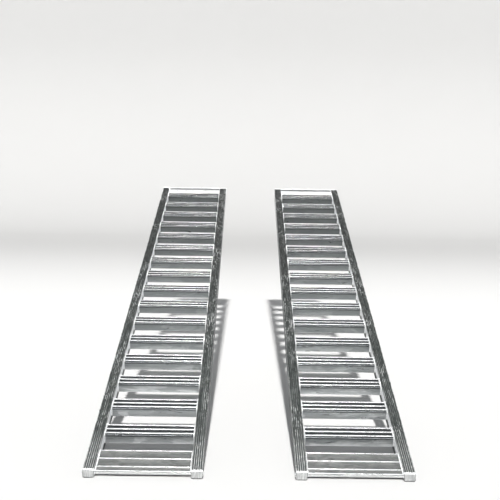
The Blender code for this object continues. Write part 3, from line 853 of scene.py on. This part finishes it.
def build_lip(side, x_centre):
    """The angle over the deck and the head plate between the rails."""
    y = END_Y
    level = [
        (y, TOP_Z - LIP_LEG_H, 0.0012),
        (y + LIP_LEG_T, TOP_Z - LIP_LEG_H, 0.0012),
        (y + LIP_LEG_T, TOP_Z - LIP_T, 0.004),
        (y + LIP_LEN, TOP_Z - LIP_T, 0.001),
        (y + LIP_LEN, TOP_Z - LIP_T * 0.45, 0.001),
        (y + LIP_LEN - 0.006, TOP_Z, 0.0015),
        (y, TOP_Z, 0.0016),
    ]
    angle = [to_slope(*point) for point in rounded(level)]
    bm = new_bmesh()
    half, inside = RAMP_W / 2, INNER_W / 2 - GAP
    add_prism(bm, angle, x_centre - half, x_centre + half)
    plate = [
        ((END_Y + 0.0005 + (HEAD_TOP - HEAD_T) * SIN) / COS, HEAD_TOP - HEAD_T),
        ((END_Y + 0.0005 + HEAD_TOP * SIN) / COS, HEAD_TOP),
        (HEAD_START, HEAD_TOP, 0.0020),
        (HEAD_START, HEAD_TOP - 0.026, 0.0012),
        (HEAD_START + 0.005, HEAD_TOP - 0.026, 0.0010),
        (HEAD_START + 0.005, HEAD_TOP - HEAD_T, 0.003),
    ]
    add_prism(bm, rounded(plate), x_centre - inside, x_centre + inside)
    path = [(HEAD_START - 0.0006, HEAD_TOP - 0.022), (HEAD_START - 0.0004, HEAD_TOP - 0.002), (HEAD_START + 0.002, HEAD_TOP + 0.0008), (LENGTH - 0.004, HEAD_TOP + 0.0008)]
    end_beads(bm, x_centre, path, 0.0028, x_centre * 1.7)
    # A bead across the back of the head plate, dark all along.
    across = LENGTH - 0.0040
    add_bead(
        bm,
        [(x_centre - inside + 0.004, across, HEAD_TOP + 0.0006), (x_centre + inside - 0.004, across, HEAD_TOP + 0.0006)],
        0.0030,
        1,
        ripple=0.0034,
        seed=x_centre,
        least_pit=0.9,
    )
    name = f"{side}_deck_lip"
    add_piece(name + "_plate", bm, [LIP, BEAD], f"{side}_upper", [name])


def add_turned(bm, profile, centre, axis, sides=24, slot=0):
    """A round solid: profile is (distance along axis, radius), closed at both ends."""
    axis = Vector(axis).normalized()
    side = axis.cross(Vector((0, 1, 0)))
    if side.length < 0.1:
        side = axis.cross(Vector((1, 0, 0)))
    side.normalize()
    up = axis.cross(side)
    rings = [
        [
            bm.verts.new(
                Vector(centre)
                + axis * along
                + side * (radius * math.cos(2 * math.pi * j / sides))
                + up * (radius * math.sin(2 * math.pi * j / sides))
            )
            for j in range(sides)
        ]
        for along, radius in profile
    ]
    faces = [bm.faces.new(rings[0]), bm.faces.new(rings[-1])]
    for ring, following in zip(rings, rings[1:]):
        for j in range(sides):
            after = (j + 1) % sides
            faces.append(bm.faces.new((ring[j], ring[after], following[after], following[j])))
    for face in faces:
        face.material_index = slot


def build_bolts(side, half_name, edge, x, direction):
    """Two hex screws with washers under a hinge leaf."""
    bm = new_bmesh()
    under = -RAIL_D - GAP - LEAF_T
    for distance in (0.040, 0.064):
        s = FOLD_S + direction * distance
        add_turned(bm, [(-0.0002, 0.0078), (-0.0002, 0.0084), (0.0012, 0.0084), (0.0014, 0.0080)], (x, s, under), (0, 0, -1), 24)
        turn = 0.3 + distance * 40
        hexagon = []
        for z, size in ((0.0014, 0.0074), (0.0050, 0.0074), (0.0058, 0.0068)):
            hexagon.append(
                [
                    bm.verts.new((x + size * math.cos(turn + math.pi * j / 3), s + size * math.sin(turn + math.pi * j / 3), under - z))
                    for j in range(6)
                ]
            )
        bm.faces.new(hexagon[0])
        bm.faces.new(hexagon[-1])
        for ring, following in zip(hexagon, hexagon[1:]):
            for j in range(6):
                after = (j + 1) % 6
                bm.faces.new((ring[j], ring[after], following[after], following[j]))
    add_piece(f"{side}_{edge}_hinge_{half_name}_screws", bm, [PIN], f"{side}_{half_name}", sharp=25)


# ------------------------------------------------------------------ the pair
for side, x_centre, outward in (("left", -SPACING / 2, -1), ("right", SPACING / 2, 1)):
    for edge, x in (("outer", x_centre + outward * RAIL_X), ("inner", x_centre - outward * RAIL_X)):
        build_rail(side, edge, x, 3.0 + x * 4)
        build_shoe(side, edge, x)
        build_bolts(side, "upper", edge, x, 1)
        build_bolts(side, "lower", edge, x, -1)
        for half_name in ("upper", "lower"):
            leaf = frame["nodes"][f"{side}_{edge}_hinge_{half_name}_leaf"]
            leaf.data.materials.clear()
            leaf.data.materials.append(LEAF)
        pin = frame["nodes"][f"{side}_{edge}_hinge_pin"]
        pin.data.materials.clear()
        pin.data.materials.append(PIN)
    for number in range(1, RUNGS + 1):
        build_rung(side, number, x_centre)
    build_tread(side, x_centre)
    build_lip(side, x_centre)

# ------------------------------------------------------------------ stage
def build_sweep():
    """A pale floor that curves up into a wall behind the ramps."""
    profile = [(-40.0, 0.0)]
    foot, radius, top = 9.0, 4.0, 16.0
    for k in range(17):
        turn = math.pi / 2 * k / 16
        profile.append((foot + radius * math.sin(turn), radius - radius * math.cos(turn)))
    profile.append((foot + radius, top))
    mesh = bpy.data.meshes.new("studio_sweep")
    corners, faces = [], []
    for y, z in profile:
        corners += [(-40, y, z - 0.0004), (40, y, z - 0.0004)]
    for k in range(len(profile) - 1):
        faces.append((2 * k, 2 * k + 1, 2 * k + 3, 2 * k + 2))
    mesh.from_pydata(corners, [], faces)
    mesh.shade_smooth()
    sweep = bpy.data.objects.new("studio_sweep", mesh)
    bpy.context.scene.collection.objects.link(sweep)
    look = bpy.data.materials.new("studio_sweep_paint")
    look.use_nodes = True
    paint = look.node_tree.nodes["Principled BSDF"]
    # Paler near the ramps than far behind them, so that the bright heads stand out.
    nodes, links = look.node_tree.nodes, look.node_tree.links
    place = nodes.new("ShaderNodeTexCoord")
    parts = nodes.new("ShaderNodeSeparateXYZ")
    fade = nodes.new("ShaderNodeMapRange")
    fade.interpolation_type = "SMOOTHSTEP"
    tone = nodes.new("ShaderNodeCombineColor")
    for name, number in zip(("From Min", "From Max", "To Min", "To Max"), (1.5, 8.0, 0.84, 0.52)):
        fade.inputs[name].default_value = number
    links.new(place.outputs["Object"], parts.inputs[0])
    links.new(parts.outputs["Y"], fade.inputs["Value"])
    for channel in ("Red", "Green", "Blue"):
        links.new(fade.outputs[0], tone.inputs[channel])
    links.new(tone.outputs[0], paint.inputs["Base Color"])
    paint.inputs["Roughness"].default_value = 0.9
    paint.inputs["Specular IOR Level"].default_value = 0.1
    mesh.materials.append(look)


build_sweep()

world = bpy.data.worlds.new("studio_world")
bpy.context.scene.world = world
world.use_nodes = True
world.node_tree.nodes["Background"].inputs["Color"].default_value = (0.90, 0.95, 1.0, 1)
world.node_tree.nodes["Background"].inputs["Strength"].default_value = 0.17


def area(name, location, aim, width, height, power, colour=(1, 1, 1)):
    lamp = bpy.data.lights.new(name, "AREA")
    lamp.shape = "RECTANGLE"
    lamp.size, lamp.size_y = width, height
    lamp.energy = power
    lamp.color = colour
    made = bpy.data.objects.new(name, lamp)
    bpy.context.scene.collection.objects.link(made)
    made.location = location
    made.rotation_euler = (Vector(aim) - Vector(location)).to_track_quat("-Z", "Y").to_euler()
    return made


def sun(name, tilt, power, on_floor):
    """A soft sun, tilt degrees from behind overhead. One lights the floor and casts the
    shadows there, and the other makes the gleams on the metal."""
    lamp = bpy.data.lights.new(name, "SUN")
    lamp.energy = power
    lamp.angle = math.radians(2.5)
    lamp.color = (1.0, 0.99, 0.97)
    made = bpy.data.objects.new(name, lamp)
    bpy.context.scene.collection.objects.link(made)
    made.rotation_euler = (math.radians(-tilt), 0, 0)
    made.visible_glossy = not on_floor
    made.visible_diffuse = on_floor


sun("floor_key", -49, 4.5, True)
sun("metal_key", 0, 2.7, False)
area("back_bank", (0.0, 4.4, 6.4), (0, 0.0, 0.5), 6.0, 3.2, 60).visible_diffuse = False

# These banks light the pieces and not the floor.
floor_group = bpy.data.collections.new("not_lit_by_side_banks")
floor_group.objects.link(bpy.data.objects["studio_sweep"])
floor_group.collection_objects[0].light_linking.link_state = "EXCLUDE"
for name, place, width, height, power in (
    ("left_bank", (-5.0, -1.5, 3.0), 1.5, 3.0, 170),
    ("right_bank", (5.0, -1.5, 3.0), 1.5, 3.0, 170),
    ("front_bank", (0.0, -6.5, 3.4), 5.0, 2.0, 130),
    ("rear_bank", (0.0, 7.0, 1.6), 5.0, 1.6, 120),
):
    bank = area(name, place, (0, 0.1, 0.4), width, height, power)
    bank.light_linking.receiver_collection = floor_group

camera_data = bpy.data.cameras.new("photo_camera")
camera_data.sensor_width = 36.0
camera_data.lens = 56.07
camera_data.clip_end = 200
camera = bpy.data.objects.new("photo_camera", camera_data)
bpy.context.scene.collection.objects.link(camera)
camera.matrix_world = (
    Matrix.Translation((-0.0236, toe_low.y - 2.8122, 1.1567))
    @ Matrix.Rotation(math.radians(-0.284), 4, "Z")
    @ Matrix.Rotation(math.radians(90 - 5.915), 4, "X")
    @ Matrix.Rotation(math.radians(0.847), 4, "Z")
)
bpy.context.scene.camera = camera
bpy.context.scene.view_settings.view_transform = "Standard"

bpy.context.view_layer.update()
